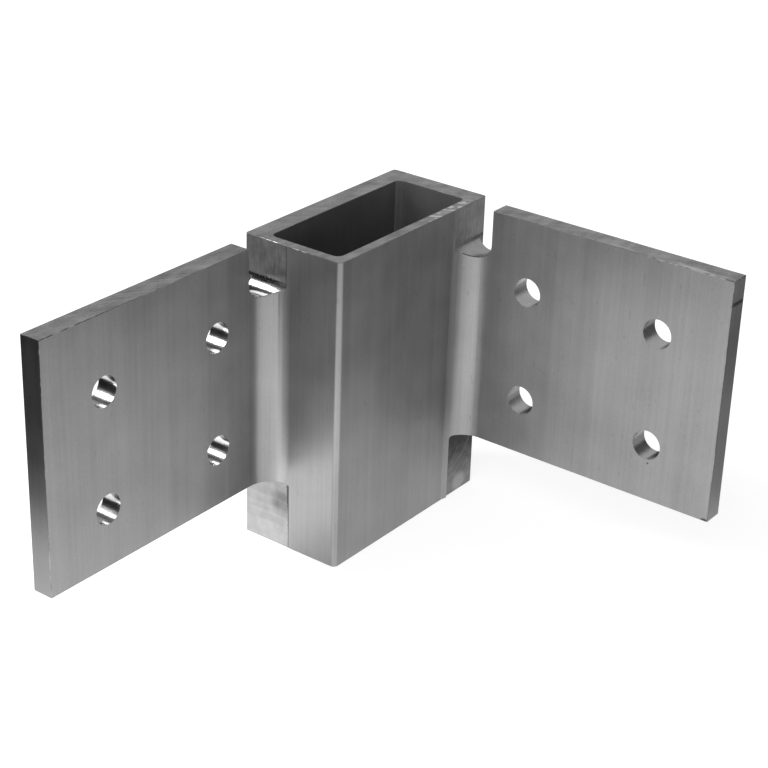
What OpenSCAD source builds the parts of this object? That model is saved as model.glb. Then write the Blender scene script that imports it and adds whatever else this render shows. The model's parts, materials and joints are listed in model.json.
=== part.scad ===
// Frame corner connector: a rectangular post sleeve with two bolt wings at a right angle.
// The origin is the centre of the post socket at the sleeve's lower end, and +Z points up the sleeve.
// The left wing runs towards -X along the sleeve's back, and the right wing towards -Y along its right end.

/* [Post sleeve] */
// Socket, inside, along X
socket_long = 86.4; // [60:0.1:150]
// Socket, inside, along Y
socket_short = 35.6; // [24:0.1:100]
// Radius of the socket's inner corners
socket_corner_r = 3.2; // [1:0.1:8]
// Back wall and right wall, which carry the wings
thick_wall = 9.5; // [6:0.1:16]
// Front wall and left wall
thin_wall = 4.75; // [2.5:0.05:9]
// Height of the sleeve
sleeve_height = 139.7; // [120:0.1:260]
// Radius of the sleeve's front left corner
front_corner_r = 2.4; // [1:0.1:4]
// Radius of the sleeve's other three corners
wing_corner_r = 1.5; // [0.5:0.1:3]

/* [Wings] */
// Length of a wing, from the sleeve's face to its free end
wing_length = 127; // [105:0.5:220]
// Height of a wing, measured down from the sleeve's top
wing_height = 108.4; // [95:0.1:115]
// Thickness of a wing
wing_thickness = 9.5; // [5:0.1:14]
// How far the wing's outer face lies inside the sleeve's outer face
wing_inset = 3.5; // [0.5:0.1:6]
// Radius of the fillet between a wing's inner face and the sleeve
root_fillet_r = 11.1; // [6:0.1:14]
// Height of the small land where that fillet ends on the sleeve
fillet_toe = 0.15; // [0.1:0.05:0.4]

/* [Bolt holes] */
// Diameter of a bolt hole
hole_d = 13.1; // [8:0.1:17]
// Sleeve's face to the first column of holes
first_column = 31.75; // [28:0.25:40]
// Spacing of the two columns
column_spacing = 63.5; // [40:0.5:64]
// Wing's lower edge to the lower row of holes
first_row = 25.4; // [14:0.1:30]
// Spacing of the two rows
row_spacing = 50.8; // [25:0.1:54]

/* [Milled reliefs] */
// Width of the slot at each wing's top, as the cutter's diameter
slot_width = 12.7; // [8:0.1:16]
// Depth of that slot, down to the bottom of its round end
slot_depth = 22.3; // [12:0.1:30]
// How far short of the fillet's end the slot cutter stops
slot_short = 1.7; // [0:0.1:4]
// How deep the cutters bite into the sleeve's faces
mill_step = 0.3; // [0.1:0.05:0.8]
// How far the milling under the left wing runs past its fillet
left_overrun = 0.3; // [0:0.1:4]
// Strip of the right wing's fillet that the milling under it leaves standing
right_strip = 3.5; // [0:0.1:5]
// Corner radius of the milled faces under the wings
patch_corner_r = 1.6; // [0.5:0.1:4]

/* [Hidden] */
$fn = 64;
cut = 1; // how far a cutter reaches past the surface that it opens

// Sleeve's outer faces
left_x = -socket_long / 2 - thin_wall;
right_x = socket_long / 2 + thick_wall;
front_y = -socket_short / 2 - thin_wall;
back_y = socket_short / 2 + thick_wall;

// A wing in its own frame: u outward from the sleeve's face, v inward from its outer face, z up
wing_bottom = sleeve_height - wing_height;
wing_inner_v = wing_inset + wing_thickness;
fillet_end_v = wing_inner_v + root_fillet_r;
slot_r = slot_width / 2;
slot_end_z = sleeve_height - slot_depth + slot_r;
slot_end_v = fillet_end_v - slot_short;
left_patch_v = fillet_end_v + left_overrun;
right_patch_v = fillet_end_v - right_strip;
aluminium = [0.62, 0.63, 0.65];

// Puts a wing's own frame on the sleeve's left face
module at_left() {
    translate([left_x, back_y, 0]) rotate([0, 0, 180]) children();
}

// Puts a wing's own frame on the sleeve's front face, at its right end
module at_right() {
    translate([right_x, front_y, 0]) mirror([1, 0, 0]) rotate([0, 0, -90]) children();
}

// A square corner at the origin, filling x > 0 and y > 0, turned into a round one
module corner_waste(r) {
    difference() {
        translate([-cut, -cut]) square(r + cut);
        translate([r, r]) circle(r);
    }
}

// Rectangle from [x1, y1] to [x2, y2] with a radius for each corner: lower left, lower right, upper right, upper left
module round_rectangle(x1, y1, x2, y2, radii) {
    difference() {
        translate([x1, y1]) square([x2 - x1, y2 - y1]);
        translate([x1, y1]) corner_waste(radii[0]);
        translate([x2, y1]) mirror([1, 0]) corner_waste(radii[1]);
        translate([x2, y2]) rotate(180) corner_waste(radii[2]);
        translate([x1, y2]) mirror([0, 1]) corner_waste(radii[3]);
    }
}

// The sleeve's cross-section
module sleeve_profile() {
    difference() {
        round_rectangle(left_x, front_y, right_x, back_y,
            [front_corner_r, wing_corner_r, wing_corner_r, wing_corner_r]);
        round_rectangle(-socket_long / 2, -socket_short / 2, socket_long / 2, socket_short / 2,
            [for (i = [0:3]) socket_corner_r]);
    }
}

// A wing's cross-section with its root fillet, in u and v
module wing_profile() {
    translate([0, wing_inset]) square([wing_length, wing_thickness]);
    difference() {
        translate([0, wing_inner_v - cut]) square([root_fillet_r + fillet_toe, root_fillet_r + cut]);
        translate([root_fillet_r + fillet_toe, fillet_end_v]) circle(root_fillet_r, $fn = 96);
    }
}

// The slot at a wing's top: a cutter with its axis across the wing, sunk a little into the sleeve
module slot_cutter() {
    translate([slot_r - mill_step, -cut, slot_end_z]) {
        rotate([-90, 0, 0]) cylinder(h = slot_end_v + cut, r = slot_r);
        translate([-slot_r, 0, 0]) cube([slot_width, slot_end_v + cut, slot_depth]);
    }
}

// The clearance under a wing, up to the wing's lower edge and inward to v = reach
module lower_cutter(reach) {
    translate([-mill_step, 0, 0]) rotate([90, 0, 90]) linear_extrude(height = wing_length + mill_step + cut)
        difference() {
            translate([-cut, -cut]) square([reach + cut, wing_bottom + cut]);
            translate([reach, wing_bottom]) rotate(180) corner_waste(patch_corner_r);
        }
}

// The four bolt holes of a wing
module bolt_holes() {
    for (column = [0, 1], row = [0, 1])
        translate([first_column + column * column_spacing, wing_inset - cut,
                wing_bottom + first_row + row * row_spacing])
            rotate([-90, 0, 0]) cylinder(h = wing_thickness + 2 * cut, d = hole_d);
}

// A whole wing in its own frame
module wing(patch_reach) {
    difference() {
        linear_extrude(height = sleeve_height) wing_profile();
        lower_cutter(patch_reach);
        slot_cutter();
        bolt_holes();
    }
}

// Rectangular tube, with the faces that the cutters touched
module post_sleeve() {
    color(aluminium)
        difference() {
            linear_extrude(height = sleeve_height) sleeve_profile();
            at_left() {
                slot_cutter();
                lower_cutter(left_patch_v);
            }
            at_right() {
                slot_cutter();
                lower_cutter(right_patch_v);
            }
        }
}

// Wing along the sleeve's back, towards -X
module left_wing() {
    color(aluminium) at_left() wing(left_patch_v);
}

// Wing along the sleeve's right end, towards -Y
module right_wing() {
    color(aluminium) at_right() wing(right_patch_v);
}

post_sleeve();
left_wing();
right_wing();
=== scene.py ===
import json
import math

import bmesh
import bpy
from mathutils import Matrix, Vector


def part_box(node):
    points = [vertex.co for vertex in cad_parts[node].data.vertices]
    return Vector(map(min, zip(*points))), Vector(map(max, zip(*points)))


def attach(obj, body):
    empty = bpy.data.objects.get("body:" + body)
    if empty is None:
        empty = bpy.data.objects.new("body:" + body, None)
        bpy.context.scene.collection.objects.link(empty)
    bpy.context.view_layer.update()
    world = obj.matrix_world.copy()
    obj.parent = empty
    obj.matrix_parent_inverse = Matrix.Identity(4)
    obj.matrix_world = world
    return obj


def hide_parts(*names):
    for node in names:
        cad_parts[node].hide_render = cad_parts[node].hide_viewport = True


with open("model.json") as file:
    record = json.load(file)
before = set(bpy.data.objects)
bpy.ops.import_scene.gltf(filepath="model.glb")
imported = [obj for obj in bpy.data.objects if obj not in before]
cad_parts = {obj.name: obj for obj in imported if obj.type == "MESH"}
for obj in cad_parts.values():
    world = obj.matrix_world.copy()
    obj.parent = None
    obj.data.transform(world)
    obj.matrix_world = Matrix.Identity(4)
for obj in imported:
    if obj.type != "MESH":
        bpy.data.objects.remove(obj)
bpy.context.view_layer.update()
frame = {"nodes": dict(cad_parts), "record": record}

MM = 0.001
X, Y, Z = range(3)
WHITE = (1, 1, 1, 1)

# Where the frame puts the connector
MOUNTS = {mount["name"]: mount for mount in frame["record"]["mounts"]}
SLEEVE_LOW, SLEEVE_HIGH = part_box("post_sleeve")
TOP = SLEEVE_HIGH.z
WING_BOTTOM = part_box("left_wing")[0].z
LEFT_FACE_X = SLEEVE_LOW.x
FRONT_FACE_Y = SLEEVE_LOW.y

# Camera, at the photograph's viewing angle
IMAGE_PIXELS = 768
FOCAL_PIXELS = 1981.12
SENSOR_WIDTH = 36.0
CAMERA_PLACE = (-0.61409, -0.46650, 0.44154)
CAMERA_AZIMUTH = math.radians(-53.371)
CAMERA_ELEVATION = math.radians(26.193)
CAMERA_ROLL = math.radians(1.858)
CAMERA_CLIP = (0.05, 20)

# Broken edges: their width, their steps, and how sharp an edge has to be to get one
CUT_EDGE = 0.22 * MM
BEVEL_STEPS = 2
CUT_ANGLE = math.radians(50)

# What counts as one point, as one flat face and as a sharp edge
WELD = 0.001 * MM
FLAT_ANGLE = math.radians(0.5)
SHARP_ANGLE = math.radians(30)

# Telling faces apart. A point nearer to a plane than NEAR lies on it, and the cutters' steps in the sleeve
# are less deep than STEP_DEPTH. The others are parts of a unit normal along an axis: a face looks along the
# axis above FACING, more along it than across it above LEANING, more across it below ACROSS, and a face
# with less than UPRIGHT along Z stands upright.
NEAR = 0.02 * MM
STEP_DEPTH = 0.31 * MM
FACING = 0.99
LEANING = 0.7
ACROSS = 0.5
UPRIGHT = 0.01

# Least turn from the flats beside it at which an upright face counts as round: on the left wing, on the
# right wing and the sleeve, and where the choice is between a rounded corner and a cutter's step
CURVED_LEFT = 0.16
CURVED_RIGHT = 0.32
CURVED_LEAST = 0.02

# A fillet ends on the sleeve with a small land in the CAD. The copy runs out over this width instead, and
# moves the points that lie at most this high over the sleeve's face.
FILLET_TOE = 0.15 * MM
RUN_OUT = 2.2 * MM
RUN_OUT_HEIGHT = 0.6 * MM

# Where a wing has its slot: how far below the top and how far from the sleeve's face
SLOT_DOWN = 23 * MM
SLOT_OUT = 14 * MM

# The socket's faces lie deeper than this inside the outer faces of the sleeve's thin and thick walls
THIN_MARGIN = 4 * MM
THICK_MARGIN = 9 * MM

# Floor: its size, how far it lies below the object, and its greys: in a painted pool of light, far from it,
# and where the camera looks. A rim is a pair of distances, from which on and up to which something sets in.
FLOOR_SIZE = 8
FLOOR_DROP = 0.2 * MM
PAINTED_POOL_GREY = 0.9
PAPER_FAR = 0.25
PAPER_SEEN = 0.4
POOL_CENTRE = (-0.09, 0.03, 0)
POOL_RIM = (0.02, 0.34)

# What the floor adds to its own brightness for the camera and in reflections, and painted spots that change
# it in reflections: a painted pool of light behind the left wing, a faint painted light before it and a
# painted shadow before the sleeve. Each is its centre, its rim and what it adds.
FLOOR_GLOW_SEEN = 0.8
FLOOR_GLOW_MIRRORED = 0.67
PAINTED_FLOOR_SPOTS = (
    ((-0.10, 0.05, 0), (0.10, 0.03), 0.51),
    ((-0.08, -0.14, 0), (0.13, 0.05), 0.07),
    ((0.10, -0.09, 0), (0.09, 0.02), -0.30),
)

# The world, where it is seen or mirrored and as it lights things
BACKDROP = 0.6
WORLD_LIGHT = 0.36

# Depth of the metal's fine relief. Drawn metal: the stretch of its die lines up the extrusion, the level
# of a noise above which it has dark specks, and how strongly it stretches its reflections
RELIEF = 0.02 * MM
LINE_STRETCH = 0.012
SPECK_LEVEL = 0.73
DRAWN = 0.6

# Small dark marks of the right wing, each as its centre, its stretch and its radius: a stripe across the
# end, a nick at the lower corner and a burr under a bolt hole. Their rim is given in radii.
RIGHT_MARKS = (
    ((0.0450, -0.1496, 0.1292), (0.15, 1, 1), 1.3 * MM),
    ((0.0397, -0.1480, 0.0318), (1, 0.6, 1), 1.1 * MM),
    ((0.0397, -0.1192, 0.0485), (1, 1, 1), 0.6 * MM),
)
MARK_RIM = (1.5, 0.9)
MARK_GREY = 0.09

# How far a round's normal turns from the flats beside it, from their tone to its own lighter tone, which is
# a painted highlight
ROUND_TURN = (0.14, 0.36)

# Painted shadow line in the slots, between their flat side and their round end: its lowest height, how high
# it reaches, how soft its top and its foot are, and for each slot the axis and the places between which it
# sets in, and its grey
SLOT_SHADOW_LOW = 0.1214
SLOT_SHADOW_HEIGHT = 3.6 * MM
SLOT_SHADOW_TOP_RIM = (0.1 * MM, -0.2 * MM)
SLOT_SHADOW_FOOT_RIM = (0, 0.3 * MM)
SLOT_SHADOW_LEFT = (Y, 0.004, 0.013, 0.03)
SLOT_SHADOW_RIGHT = (X, 0.030, 0.050, 0.10)

# Painted shade along a burr at the end of the left slot on the sleeve's face, as its place and its width,
# the part of that width which is dark throughout, and how far it covers the metal
SLOT_LINE = (0.0049, 1.1 * MM)
SLOT_LINE_CORE = 0.5
SLOT_LINE_COVER = 0.75

# Milled patches: how far their sweeps waver, what is added to their tone round a spot, and a painted shade
# along a burr at one edge, with its grey, the heights between which it grows, its width below them and what
# they add to it
SWEEP_WAVER = 1.5 * MM
SPOT_TONE = 0.45
BURR_SHADE_GREY = 0.06
BURR_SHADE_HEIGHTS = (0.010, 0.026)
BURR_SHADE_WIDTH = 0.55 * MM
BURR_SHADE_GROWTH = 0.7 * MM

# Bright or dark burr on the broken edges, each as its centre, its reach, the values of the burr's noise
# between which it shows, and its grey: on the rim by the left slot, on the edge below the right slot, on
# the right wing's inner rim and the top of its end, and on the left wing's rim and the top of its end. A
# spot is at its full strength up to a part of its reach.
RIM_SPOTS = (
    ((LEFT_FACE_X, 0.006, TOP), 16 * MM, 0.47, 0.56, 1.0),
    ((0.033, -0.028, 0.118), 12 * MM, 0.62, 0.45, 0.04),
    ((0.0397, -0.128, TOP), 26 * MM, 0.40, 0.62, 0.6),
    ((0.0445, -0.1496, TOP), 9 * MM, 0.62, 0.50, 0.05),
    ((-0.165, 0.0143, TOP), 34 * MM, 0.56, 0.46, 0.06),
    ((-0.175, 0.0143, 0.130), 16 * MM, 0.60, 0.46, 0.06),
)
SPOT_CORE = 0.4

# The saw's arcs on the tops have this centre
SAW_CENTRE = (-0.30, -0.24, TOP)

# Scraped metal on the rim above the right slot, and rubbed metal along the right wing's inner edge, which
# sets in between two places across the wing: their centres and rims, the values of a noise between which
# they show, how far they cover the sawn face, and their grey
SCRAPED_SPOT = (0.027, FRONT_FACE_Y + 2 * MM, TOP)
SCRAPED_RIM = (24 * MM, 8 * MM)
SCRAPED_VALUES = (0.56, 0.66)
SCRAPED_COVER = 0.75
RUBBED_SPOT = (0.0405, -0.122, TOP)
RUBBED_RIM = (36 * MM, 16 * MM)
RUBBED_ACROSS = (0.0436, 0.0404)
RUBBED_VALUES = (0.46, 0.60)
RUBBED_COVER = 0.6
SCRAPED_GREY = 0.85

# Finishes, as indices into each piece's list of materials. Some carry painted light: the rounds and the
# socket's inner corner a painted highlight, the socket's walls a lit and a shaded painted copy of one
# finish, and the milled patch on the sleeve's front face a painted-shade copy.
EXTRUDED, FILLET, INNER, INNER_SHADED, INNER_CORNER, SAWN = range(6)
MILLED, MILLED_SHADED, SMEARED, SMEARED_DULL, SLOT, BORED, EDGE = range(6, 13)


def place_camera():
    level = Vector((math.cos(CAMERA_AZIMUTH), math.sin(CAMERA_AZIMUTH), 0))
    away = Vector((level.y, -level.x, 0))
    back = math.cos(CAMERA_ELEVATION) * away + Vector((0, 0, math.sin(CAMERA_ELEVATION)))
    upright = back.cross(level)
    right = math.cos(CAMERA_ROLL) * level + math.sin(CAMERA_ROLL) * upright
    up = math.cos(CAMERA_ROLL) * upright - math.sin(CAMERA_ROLL) * level
    turn = Matrix((right, up, back)).transposed().to_4x4()
    data = bpy.data.cameras.new("camera")
    data.sensor_width = SENSOR_WIDTH
    data.lens = FOCAL_PIXELS * SENSOR_WIDTH / IMAGE_PIXELS
    data.clip_start, data.clip_end = CAMERA_CLIP
    camera = bpy.data.objects.new("camera", data)
    camera.matrix_world = Matrix.Translation(CAMERA_PLACE) @ turn
    bpy.context.scene.collection.objects.link(camera)
    bpy.context.scene.camera = camera


def grey(value):
    return (value, value, value, 1)


class Shader:
    """The node tree of a new material or world, with a short way to add and join its nodes."""

    def __init__(self, owner):
        self.owner = owner
        owner.use_nodes = True
        self.tree = owner.node_tree
        self.tree.nodes.clear()

    def add(self, kind, inputs, **settings):
        """Adds a node and returns its outputs. An input is a socket to link or a value to set."""
        node = self.tree.nodes.new(kind)
        for key, value in settings.items():
            setattr(node, key, value)
        for key, value in inputs.items():
            if isinstance(value, bpy.types.NodeSocket):
                self.tree.links.new(value, node.inputs[key])
            else:
                node.inputs[key].default_value = value
        return node.outputs

    def math(self, operation, a, b=0.0, c=0.0):
        return self.add("ShaderNodeMath", {0: a, 1: b, 2: c}, operation=operation)[0]

    def times(self, a, b):
        return self.math("MULTIPLY", a, b)

    def plus(self, base, value, weight):
        """The base, and the value times its weight."""
        return self.math("MULTIPLY_ADD", value, weight, base)

    def ramp(self, value, start, end):
        """0 up to the start and 1 from the end on, soft between them. The end may be the lower one."""
        inputs = {0: value, 1: start, 2: end}
        return self.add("ShaderNodeMapRange", inputs, interpolation_type="SMOOTHSTEP")[0]

    def place(self):
        return self.add("ShaderNodeTexCoord", {})["Object"]

    def axes(self, vector):
        return self.add("ShaderNodeSeparateXYZ", {0: vector})

    def scaled(self, vector, scale):
        return self.add("ShaderNodeMapping", {"Vector": vector, "Scale": scale})[0]

    def distance(self, vector, centre):
        return self.add("ShaderNodeVectorMath", {0: vector, 1: centre}, operation="DISTANCE")["Value"]

    def around(self, vector, centre, rim):
        """How far something that spreads round a centre has set in, between the rim's two distances."""
        return self.ramp(self.distance(vector, centre), *rim)

    def noise(self, vector, scale, detail, roughness=0.5):
        """Noise with its coarsest cells at this many to a metre."""
        inputs = {"Vector": vector, "Scale": scale, "Detail": detail, "Roughness": roughness}
        return self.add("ShaderNodeTexNoise", inputs)[0]

    def noise_along(self, distance, scale, detail, roughness=0.5):
        """Noise that changes only with one distance, so that it draws lines or arcs."""
        inputs = {"W": distance, "Scale": scale, "Detail": detail, "Roughness": roughness}
        return self.add("ShaderNodeTexNoise", inputs, noise_dimensions="1D")[0]

    def blend(self, parts, middle=0.5):
        """Sum of noises about the middle value: each part is (noise, weight)."""
        total = middle
        for value, weight in parts:
            total = self.plus(total, self.math("SUBTRACT", value, 0.5), weight)
        return total

    def mix(self, share, first, second):
        inputs = {0: share, 6: first, 7: second}
        return self.add("ShaderNodeMix", inputs, data_type="RGBA", clamp_factor=True)[2]

    def shades(self, factor, dark, light):
        """Grey between dark and light, as linear values."""
        return self.mix(factor, grey(dark), grey(light))

    def covered(self, colour, share, shade):
        """The colour, with a plain grey over it where the share is 1."""
        return self.mix(share, colour, grey(shade))

    def slot_shadow(self, colour, place, axis, start, end, shade):
        """The colour, with a ragged painted shadow line where a slot's side meets its round end."""
        split = self.axes(place)
        teeth = self.noise(self.scaled(place, (1, 1, 0.25)), 1300, detail=2)
        above = self.math("SUBTRACT", split[Z], SLOT_SHADOW_LOW)
        top = self.ramp(self.plus(above, teeth, -SLOT_SHADOW_HEIGHT), *SLOT_SHADOW_TOP_RIM)
        share = self.times(top, self.ramp(above, *SLOT_SHADOW_FOOT_RIM))
        return self.covered(colour, self.times(share, self.ramp(split[axis], start, end)), shade)

    def metal(self, colour, roughness, height, depth=RELIEF, drawn=None):
        """Bare metal with a relief. Where it is drawn, its reflections are stretched across the draw."""
        normal = self.add("ShaderNodeBump", {"Height": height, "Distance": depth, "Strength": 1.0})[0]
        inputs = {"Base Color": colour, "Roughness": roughness, "Normal": normal, "Metallic": 1.0}
        if drawn:
            inputs["Anisotropic"] = drawn
            inputs["Tangent"] = self.add("ShaderNodeTangent", {}, direction_type="RADIAL", axis="Z")[0]
        surface = self.add("ShaderNodeBsdfPrincipled", inputs)[0]
        self.add("ShaderNodeOutputMaterial", {"Surface": surface})
        return self.owner

    def card(self, colour, glow):
        """Plain card or paper, which adds a white glow to its own brightness."""
        plain = self.add("ShaderNodeBsdfDiffuse", {"Color": colour})[0]
        white = self.add("ShaderNodeEmission", {"Color": WHITE, "Strength": glow})[0]
        both = self.add("ShaderNodeAddShader", {0: plain, 1: white})[0]
        self.add("ShaderNodeOutputMaterial", {"Surface": both})
        return self.owner

    def looks(self):
        """1 where the camera looks straight, and 1 where it looks through a reflection or through glass."""
        rays = self.add("ShaderNodeLightPath", {})
        through = self.math("MAXIMUM", rays["Is Glossy Ray"], rays["Is Transmission Ray"])
        return rays["Is Camera Ray"], through


def extruded_metal(name, dark, light, roughness, marks=(), flats=None):
    """Mill finish: die lines that run up the extrusion, with soft clouds and fine grain.

    The flats are the dark and light of the faces beside a round, into which its ends run. A round's lighter
    greys are a painted highlight, which fades into the flats' greys as its normal turns towards them.
    """
    s = Shader(bpy.data.materials.new(name))
    place = s.place()
    lines = s.scaled(place, (1, 1, LINE_STRETCH))
    fine = s.noise(lines, 1300, detail=3, roughness=0.6)
    coarse = s.noise(lines, 420, detail=2)
    broad = s.noise(lines, 110, detail=1)
    cloud = s.noise(place, 48, detail=4)
    grain = s.noise(place, 2400, detail=1)
    speck = s.math("GREATER_THAN", s.noise(s.scaled(place, (1, 1, 0.4)), 560, detail=1), SPECK_LEVEL)
    tone = s.blend([(fine, 0.62), (coarse, 0.4), (broad, 0.5), (cloud, 0.9), (grain, 0.7)])
    tone = s.plus(tone, speck, -0.3)
    rough = s.blend([(fine, 0.10), (cloud, 0.12)], middle=roughness)
    height = s.blend([(fine, 0.5), (coarse, 0.5), (grain, 0.25)])
    colour = s.shades(tone, dark, light)
    # Painted highlight on a round: its lighter greys fade into the flats' greys where its normal turns
    # towards them
    if flats:
        turned = s.axes(s.add("ShaderNodeTexCoord", {})["Normal"])
        turn = s.math("MINIMUM", s.math("ABSOLUTE", turned[X]), s.math("ABSOLUTE", turned[Y]))
        colour = s.mix(s.ramp(turn, *ROUND_TURN), s.shades(tone, *flats), colour)
    for centre, stretch, reach in marks:
        off = s.add("ShaderNodeVectorMath", {0: place, 1: centre}, operation="SUBTRACT")[0]
        away = s.distance(s.scaled(off, stretch), (0, 0, 0))
        ragged = s.plus(away, s.noise(place, 1100, detail=1), reach)
        rim = [radii * reach for radii in MARK_RIM]
        colour = s.covered(colour, s.ramp(ragged, *rim), MARK_GREY)
    return s.metal(colour, rough, height, drawn=DRAWN)


def sawn_metal(name):
    """Sawn ends: shallow arcs of the saw blade, a scraped spot and a rubbed edge."""
    s = Shader(bpy.data.materials.new(name))
    place = s.place()
    radius = s.distance(place, SAW_CENTRE)
    arcs = s.noise_along(radius, 900, detail=3, roughness=0.6)
    wide = s.noise_along(radius, 160, detail=1)
    cloud = s.noise(place, 90, detail=3)
    grain = s.noise(place, 1800, detail=2)
    streak = s.noise(s.scaled(place, (0.25, 1, 1)), 260, detail=2)
    tone = s.blend([(arcs, 1.0), (wide, 0.5), (cloud, 1.2), (grain, 0.9), (streak, 1.0)])
    rough = s.blend([(arcs, 0.15), (cloud, 0.1)], middle=0.42)
    height = s.blend([(arcs, 1.0), (grain, 0.4)])
    scrape = s.blend([(s.noise_along(radius, 330, detail=1), 1.0), (s.noise(place, 330, detail=1), 0.8)])
    scraped = s.times(s.around(place, SCRAPED_SPOT, SCRAPED_RIM), s.ramp(scrape, *SCRAPED_VALUES))
    rub = s.noise(s.scaled(place, (1, 0.12, 1)), 460, detail=2)
    edge = s.times(s.ramp(s.axes(place)[X], *RUBBED_ACROSS), s.around(place, RUBBED_SPOT, RUBBED_RIM))
    rubbed = s.times(edge, s.ramp(rub, *RUBBED_VALUES))
    colour = s.shades(tone, 0.20, 0.47)
    colour = s.covered(colour, s.times(scraped, SCRAPED_COVER), SCRAPED_GREY)
    colour = s.covered(colour, s.times(rubbed, RUBBED_COVER), SCRAPED_GREY)
    return s.metal(colour, rough, height)


def milled_metal(name, dark, light, middle, fall, sweep_centre, spot, spot_rim, edge_y):
    """Faces that the end of a cutter swept: fine sweeps, a change of tone round a spot and a ragged painted
    shade along a burr at one edge.

    The tone starts at middle at the foot and loses fall up to the wing's lower edge, a painted shade under
    the wing.
    """
    s = Shader(bpy.data.materials.new(name))
    place = s.place()
    split = s.axes(place)
    radius = s.plus(s.distance(place, sweep_centre), s.noise(place, 70, detail=2), SWEEP_WAVER)
    arcs = s.noise_along(radius, 1200, detail=3, roughness=0.6)
    wide = s.noise_along(radius, 300, detail=1)
    cloud = s.noise(place, 260, detail=3)
    tone = s.blend([(arcs, 0.35), (wide, 0.35), (cloud, 0.6)], middle=middle)
    tone = s.plus(tone, s.around(place, spot, spot_rim), SPOT_TONE)
    # Painted shade under the wing: the tone falls up to the wing's lower edge
    tone = s.plus(tone, s.ramp(split[Z], 0, WING_BOTTOM), -fall)
    # Painted shade along a burr at one edge, wider between its heights
    width = s.plus(BURR_SHADE_WIDTH, s.ramp(split[Z], *BURR_SHADE_HEIGHTS), BURR_SHADE_GROWTH)
    ragged = s.times(width, s.times(s.noise(place, 900, detail=2), 2.0))
    burr = s.math("LESS_THAN", s.math("SUBTRACT", split[Y], edge_y), ragged)
    burr = s.times(burr, s.math("GREATER_THAN", split[Y], edge_y - MM))
    rough = s.blend([(arcs, 0.15), (cloud, 0.1)], middle=0.36)
    height = s.blend([(arcs, 1.0), (wide, 1.5)])
    colour = s.covered(s.shades(tone, dark, light), burr, BURR_SHADE_GREY)
    return s.metal(colour, rough, height)


def smeared_metal(name, dark, light, slot_shadow, line=None):
    """Faces that the side of a cutter left: smears up the sleeve, dull blotches and a painted shadow line
    at the slot's round end.
    """
    s = Shader(bpy.data.materials.new(name))
    place = s.place()
    smear = s.noise(s.scaled(place, (1, 1, 0.18)), 900, detail=3)
    blotch = s.noise(place, 190, detail=3, roughness=0.6)
    tone = s.blend([(smear, 1.1), (blotch, 1.1)])
    rough = s.blend([(smear, 0.15)], middle=0.42)
    # Painted shadow line where the slot's side meets its round end
    colour = s.slot_shadow(s.shades(tone, dark, light), place, *slot_shadow)
    # Painted shade along a burr at the slot's end
    if line:
        edge_y, width = line
        inside = s.math("SUBTRACT", s.axes(place)[Y], edge_y)
        dark_part = s.ramp(inside, width, SLOT_LINE_CORE * width)
        colour = s.covered(colour, s.times(dark_part, SLOT_LINE_COVER), BURR_SHADE_GREY)
    return s.metal(colour, rough, s.blend([(smear, 1.0)]))


def turned_metal(name, dark, light, roughness, relief, slot_shadow=()):
    """Smooth cut rounds: the rings that a tool leaves across its axis, for both wings."""
    s = Shader(bpy.data.materials.new(name))
    place = s.place()
    split = s.axes(place)
    rings = s.noise_along(s.math("ADD", split[X], split[Y]), 1500, detail=2)
    smear = s.noise(place, 300, detail=2)
    rough = s.blend([(smear, 0.08)], middle=roughness)
    colour = s.shades(s.blend([(rings, 0.5), (smear, 0.8)]), dark, light)
    # Painted shadow line where the slot's side meets this round
    if slot_shadow:
        colour = s.slot_shadow(colour, place, *slot_shadow)
    return s.metal(colour, rough, s.blend([(rings, 1.0)]), relief)


def edge_metal(name):
    """Broken edges: dull, with a few specks of burr."""
    s = Shader(bpy.data.materials.new(name))
    place = s.place()
    burr = s.noise(place, 330, detail=2, roughness=0.6)
    sparse = s.noise(place, 45, detail=1)
    colour = s.shades(s.blend([(burr, 2.0), (sparse, 3.5)], middle=0.05), 0.22, 0.45)
    for centre, reach, start, end, shade in RIM_SPOTS:
        near = s.around(place, centre, (reach, SPOT_CORE * reach))
        colour = s.covered(colour, s.times(near, s.ramp(burr, start, end)), shade)
    return s.metal(colour, 0.45, burr, 0.03 * MM)


def on_plane(part, axis, value, tolerance=NEAR):
    """True for a face or an edge with all its points on a plane across the axis."""
    return all(abs(v.co[axis] - value) < tolerance for v in part.verts)


def is_curved(face, limit):
    """True for the upright faces of a rounded corner or a fillet, apart from its flattest parts."""
    return abs(face.normal.z) < UPRIGHT and min(abs(face.normal.x), abs(face.normal.y)) > limit


def is_step(face):
    """True for the small walls round the faces that a cutter took just below the sleeve's own faces."""
    for axis, value in ((X, LEFT_FACE_X), (Y, FRONT_FACE_Y)):
        if on_plane(face, axis, value, STEP_DEPTH) and abs(face.normal[axis]) < LEANING:
            return True
    return False


def root_of(across):
    """The sleeve's face that a wing grows from, on the axis that the wing runs along."""
    return LEFT_FACE_X if across == Y else FRONT_FACE_Y


def bore_places(mount, across):
    """The pattern's bores, as places along the wing with their heights, and their reach, from the frame."""
    centre, dims = Vector(mount["pos_m"]), mount["dims"]
    half_u, half_z = dims["spacing_x_mm"] * MM / 2, dims["spacing_y_mm"] * MM / 2
    middle = centre[1 - across]
    places = [(middle + i * half_u, centre.z + j * half_z) for i in (-1, 1) for j in (-1, 1)]
    return places, dims["hole_r_mm"] * MM + NEAR


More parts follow.
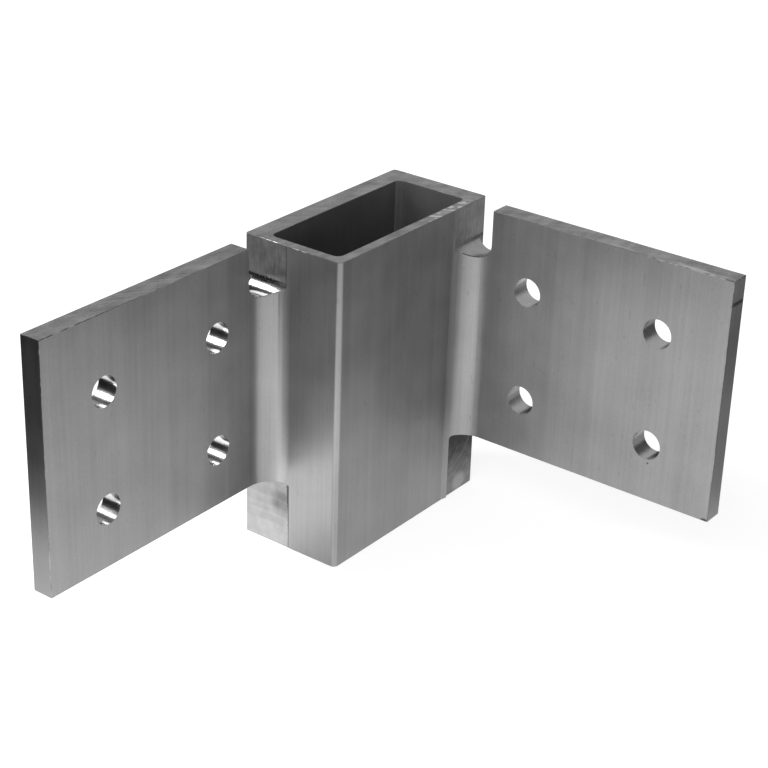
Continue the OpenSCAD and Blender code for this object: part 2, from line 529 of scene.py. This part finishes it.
def sleeve_finish(face):
    """Which finish a face of the sleeve has."""
    n, c = face.normal, face.calc_center_median()
    if abs(n.z) > FACING and (on_plane(face, Z, TOP) or on_plane(face, Z, SLEEVE_LOW.z)):
        return SAWN
    if not is_curved(face, CURVED_LEAST):
        if on_plane(face, X, LEFT_FACE_X, STEP_DEPTH) and c.x > LEFT_FACE_X + NEAR:
            return SMEARED if c.z > WING_BOTTOM else MILLED
        # Below the wing, the patch on the sleeve's front face takes a painted-shade copy of the milled
        # finish
        if on_plane(face, Y, FRONT_FACE_Y, STEP_DEPTH) and c.y > FRONT_FACE_Y + NEAR:
            return SMEARED_DULL if c.z > WING_BOTTOM else MILLED_SHADED
    inside_x = SLEEVE_LOW.x + THIN_MARGIN < c.x < SLEEVE_HIGH.x - THICK_MARGIN
    inside_y = SLEEVE_LOW.y + THIN_MARGIN < c.y < SLEEVE_HIGH.y - THICK_MARGIN
    if inside_x and inside_y:
        # Painted light in the socket: a painted highlight in its corner, a lit painted copy on the walls
        # facing along X and a shaded painted copy on the others
        if is_curved(face, CURVED_RIGHT):
            return INNER_CORNER
        return INNER if abs(n.x) > LEANING else INNER_SHADED
    return FILLET if is_curved(face, CURVED_RIGHT) else EXTRUDED


def wing_finish(face, bores, across):
    """Which finish a face of a wing has. The bores and the slot run along the axis across."""
    n, c = face.normal, face.calc_center_median()
    places, reach = bores
    along = 1 - across
    cut_across = abs(n[across]) < ACROSS
    if cut_across and any(math.hypot(c[along] - u, c.z - z) < reach for u, z in places):
        return BORED
    if n.z > FACING and on_plane(face, Z, TOP):
        return SAWN
    if n.z < -FACING and on_plane(face, Z, WING_BOTTOM):
        return MILLED
    if cut_across and c.z > TOP - SLOT_DOWN and abs(c[along] - root_of(across)) < SLOT_OUT:
        return SLOT
    return FILLET if is_curved(face, CURVED_LEFT if across == Y else CURVED_RIGHT) else EXTRUDED


def run_out(bm, across):
    """Lets a wing's fillet run out on the sleeve's face, in place of its small land."""
    root, along = root_of(across), 1 - across
    toes = [face.verts[0].co[across] for face in bm.faces
            if abs(face.normal[across]) > FACING and on_plane(face, along, root, FILLET_TOE + NEAR)]
    for v in bm.verts if toes else ():
        beside = abs(v.co[across] - toes[0])
        if beside < RUN_OUT and NEAR < root - v.co[along] < RUN_OUT_HEIGHT:
            v.co[along] += FILLET_TOE * (1 - beside / RUN_OUT)
    bmesh.ops.remove_doubles(bm, verts=bm.verts, dist=WELD)
    bm.normal_update()


def break_edges(bm, across):
    """Bevels the sharp edges, apart from steps, bores and the edges at which a wing meets the sleeve."""
    crisp = [face for face in bm.faces if is_step(face) or face.material_index == BORED]
    kept = {edge for face in crisp for edge in face.edges}
    if across is not None:
        kept |= {edge for edge in bm.edges if on_plane(edge, 1 - across, root_of(across))}
    whole = [edge for edge in bm.edges if edge not in kept and len(edge.link_faces) == 2]
    sharp = [edge for edge in whole if edge.calc_face_angle() > CUT_ANGLE]
    bmesh.ops.bevel(bm, geom=sharp, offset=CUT_EDGE, offset_type="OFFSET", segments=BEVEL_STEPS,
                    profile=0.5, affect="EDGES", clamp_overlap=False, material=EDGE)


def dressed(node, name, finish_of, materials, across=None):
    """A copy of a CAD node with its cut edges broken and a finish on each face, which stands for it.

    For a wing, across is the axis that its bores run along.
    """
    mesh = bpy.data.meshes.new(name)
    bm = bmesh.new()
    bm.from_mesh(frame["nodes"][node].data)
    bmesh.ops.remove_doubles(bm, verts=bm.verts, dist=WELD)
    bmesh.ops.dissolve_limit(bm, angle_limit=FLAT_ANGLE, verts=bm.verts, edges=bm.edges)
    bm.normal_update()
    for face in bm.faces:
        face.material_index = finish_of(face)
    if across is not None:
        run_out(bm, across)
    break_edges(bm, across)
    for face in bm.faces:
        face.smooth = True
    for edge in bm.edges:
        edge.smooth = len(edge.link_faces) == 2 and edge.calc_face_angle() < SHARP_ANGLE
    bm.to_mesh(mesh)
    bm.free()
    for material in materials:
        mesh.materials.append(material)
    piece = bpy.data.objects.new(name, mesh)
    bpy.context.scene.collection.objects.link(piece)
    normals = piece.modifiers.new("face_normals", "WEIGHTED_NORMAL")
    normals.keep_sharp = True
    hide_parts(node)
    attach(piece, "root")


def add_world():
    """An even studio: it lights things softly, and shows a little paler than it lights."""
    world = bpy.data.worlds.new("studio")
    s = Shader(world)
    shown = s.math("MAXIMUM", *s.looks())
    strength = s.plus(WORLD_LIGHT, shown, BACKDROP - WORLD_LIGHT)
    background = s.add("ShaderNodeBackground", {"Color": WHITE, "Strength": strength})[0]
    s.add("ShaderNodeOutputWorld", {"Surface": background})
    bpy.context.scene.world = world


def add_floor():
    """Pale floor, white to the camera and in reflections, which keeps the object's shadow, with a painted
    pool of light and painted light and shadow that show only in reflections.
    """
    bpy.ops.mesh.primitive_plane_add(size=FLOOR_SIZE, location=(0, 0, -FLOOR_DROP))
    floor = bpy.context.object
    floor.name = "floor"
    s = Shader(bpy.data.materials.new("floor_paper"))
    place = s.place()
    seen, through = s.looks()
    # Painted pool of light: the paper is paler round the pool's centre
    lit = s.shades(s.around(place, POOL_CENTRE, POOL_RIM), PAINTED_POOL_GREY, PAPER_FAR)
    # Painted light and shadow on the floor, which show only in reflections
    mirrored = FLOOR_GLOW_MIRRORED
    for centre, rim, extra in PAINTED_FLOOR_SPOTS:
        mirrored = s.plus(mirrored, s.around(place, centre, rim), extra)
    glow = s.math("MAXIMUM", s.times(seen, FLOOR_GLOW_SEEN), s.times(through, mirrored))
    floor.data.materials.append(s.card(s.covered(lit, seen, PAPER_SEEN), glow))


def add_flag(name, centre, facing, size, shade, glow=0.0):
    """A dull card outside the picture, which bare metal shows as dark bands. The camera doesn't see it."""
    bpy.ops.mesh.primitive_plane_add(size=1, location=centre)
    flag = bpy.context.object
    flag.name = name
    flag.scale = (*size, 1)
    flag.rotation_euler = (Vector(facing) - Vector(centre)).to_track_quat("Z", "Y").to_euler()
    flag.visible_camera = flag.visible_shadow = flag.visible_diffuse = False
    flag.data.materials.append(Shader(bpy.data.materials.new(name + "_card")).card(grey(shade), glow))


def add_lamp(name, place, target, size, watts):
    data = bpy.data.lights.new(name, "AREA")
    data.shape, data.size, data.size_y = "RECTANGLE", *size
    data.energy = watts
    lamp = bpy.data.objects.new(name, data)
    lamp.location = place
    lamp.rotation_euler = (Vector(target) - Vector(place)).to_track_quat("-Z", "Y").to_euler()
    bpy.context.scene.collection.objects.link(lamp)


place_camera()
add_world()
add_floor()
add_flag("flag_left", (-0.26, 0.08, 0.10), facing=(0, -0.115, 0.10), size=(0.35, 0.2), shade=0.045)
add_lamp("softbox_back_left", (-0.62, 0.66, 0.88), target=(0, 0, 0.05), size=(0.5, 0.5), watts=14)
add_flag("flag_right", (0.10, -0.19, 0.075), facing=(0, -0.115, 0.075), size=(0.25, 0.15), shade=0.06,
         glow=0.33)
add_flag("flag_above", (0.10, 0.42, 0.75), facing=(0, 0, 0.08), size=(0.75, 0.35), shade=0.13)
add_flag("flag_bores", (0.117, -0.153, 0.096), facing=(0.04, -0.086, 0.0821), size=(0.08, 0.07),
         shade=0.12)
add_flag("flag_bore_rims", (0.19, 0.05, 0.085), facing=(0.045, -0.086, 0.082), size=(0.14, 0.12),
         shade=0.05)
add_lamp("softbox_front", (-0.95, -0.35, 0.75), target=(0, 0, 0), size=(1.0, 1.0), watts=6)

# The left patch ends at this place on the sleeve's left face
patch_edge_y = min(v.co.y for v in frame["nodes"]["post_sleeve"].data.vertices
                   if NEAR < v.co.x - LEFT_FACE_X < STEP_DEPTH
                   and v.co.z < WING_BOTTOM - MM and v.co.y > 0)

MATERIALS = [
    extruded_metal("extruded_face", 0.21, 0.32, roughness=0.42),
    # A lighter copy of the extruded finish for the rounds: a painted highlight
    extruded_metal("fillet_painted_highlight", 0.275, 0.40, roughness=0.36, flats=(0.21, 0.32)),
    # The socket's walls: a lit and a shaded painted copy of one finish, and its corner with a painted
    # highlight
    extruded_metal("extruded_inside", 0.38, 0.54, roughness=0.50),
    extruded_metal("extruded_inside_painted_shade", 0.22, 0.31, roughness=0.48),
    extruded_metal("inside_corner_painted_highlight", 0.46, 0.62, roughness=0.45),
    sawn_metal("sawn_end"),
    milled_metal("milled_face", 0.13, 0.35, middle=0.35, fall=0.35, sweep_centre=(-0.052, 0.014, -0.15),
                 spot=(LEFT_FACE_X, patch_edge_y + 4 * MM, 0.021), spot_rim=(2 * MM, 9 * MM),
                 edge_y=patch_edge_y),
    # A darker copy of the milled finish: painted shade for the patch on the sleeve's front face
    milled_metal("milled_face_painted_shade", 0.04, 0.30, middle=0.62, fall=0.65,
                 sweep_centre=(0.027, FRONT_FACE_Y, 0.036), spot=(0.0425, FRONT_FACE_Y, 0.004),
                 spot_rim=(6 * MM, 2 * MM), edge_y=patch_edge_y),
    smeared_metal("slot_side", 0.15, 0.37, SLOT_SHADOW_LEFT, SLOT_LINE),
    smeared_metal("slot_dull_side", 0.20, 0.42, SLOT_SHADOW_RIGHT),
    turned_metal("slot_round", 0.30, 0.48, roughness=0.18, relief=0.012 * MM, slot_shadow=SLOT_SHADOW_LEFT),
    turned_metal("reamed_bore", 0.36, 0.53, roughness=0.22, relief=0.001 * MM),
    edge_metal("broken_edge"),
]
RIGHT_MATERIALS = list(MATERIALS)
# A paler copy of the extruded finish for the right wing's faces: painted light
RIGHT_MATERIALS[EXTRUDED] = extruded_metal("extruded_face_painted_light", 0.25, 0.378, roughness=0.42,
                                           marks=RIGHT_MARKS)
RIGHT_MATERIALS[SLOT] = turned_metal("dull_slot_round", 0.34, 0.50, roughness=0.30, relief=0.012 * MM,
                                     slot_shadow=SLOT_SHADOW_RIGHT)
RIGHT_MATERIALS[BORED] = turned_metal("dull_bore", 0.41, 0.60, roughness=0.27, relief=0.001 * MM)

left_bores = bore_places(MOUNTS["left_wing_bolts"], Y)
right_bores = bore_places(MOUNTS["right_wing_bolts"], X)
dressed("post_sleeve", "sleeve_body", sleeve_finish, MATERIALS)
dressed("left_wing", "left_plate", lambda face: wing_finish(face, left_bores, Y), MATERIALS, Y)
dressed("right_wing", "right_plate", lambda face: wing_finish(face, right_bores, X), RIGHT_MATERIALS, X)

bpy.context.scene.view_settings.view_transform = "Standard"
